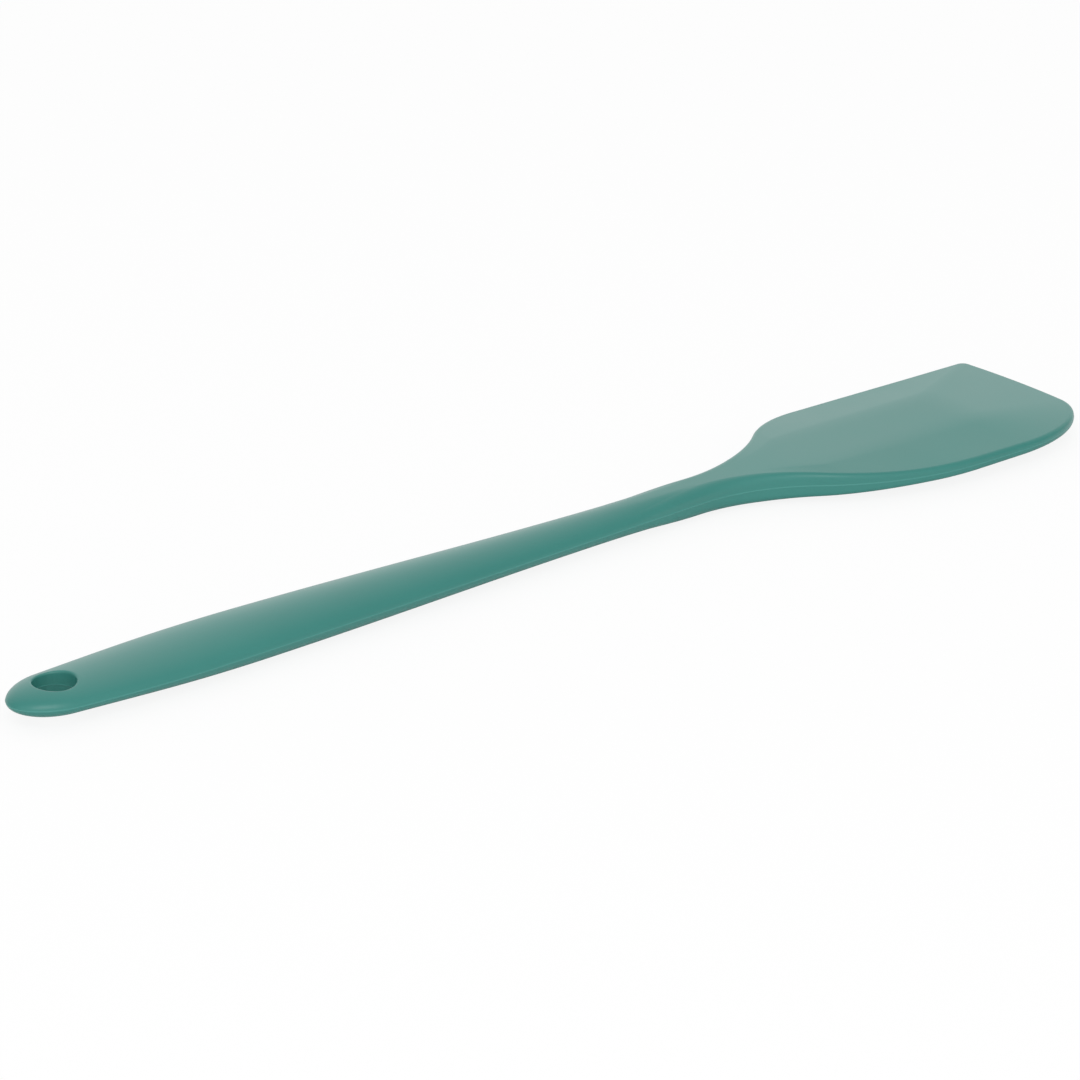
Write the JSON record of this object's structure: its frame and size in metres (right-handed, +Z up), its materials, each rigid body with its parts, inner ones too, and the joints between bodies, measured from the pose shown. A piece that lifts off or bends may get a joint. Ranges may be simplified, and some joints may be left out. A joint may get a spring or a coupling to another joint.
{
  "type": "silicone spatula",
  "caption": "One-piece silicone scraper spatula with a hidden steel core, an oval handle with a hang hole and a bevelled flexible blade.",
  "frame": {"origin": "middle of the object's underside: the centre of its bounding box in plan, at the height of the grip's lowest line", "axes": "+X along the handle from the hang hole to the blade's tip, +Y towards the blade's square corner, +Z up out of the blade's upper face"},
  "size_m": [0.28, 0.0468, 0.009],
  "materials": {
    "silicone": "satin moulded silicone, teal all through",
    "core_steel": "stamped stainless strip"
  },
  "bodies": {
    "root": {"upper_skin": "silicone", "lower_skin": "silicone", "core": "core_steel"}
  },
  "joints": []
}
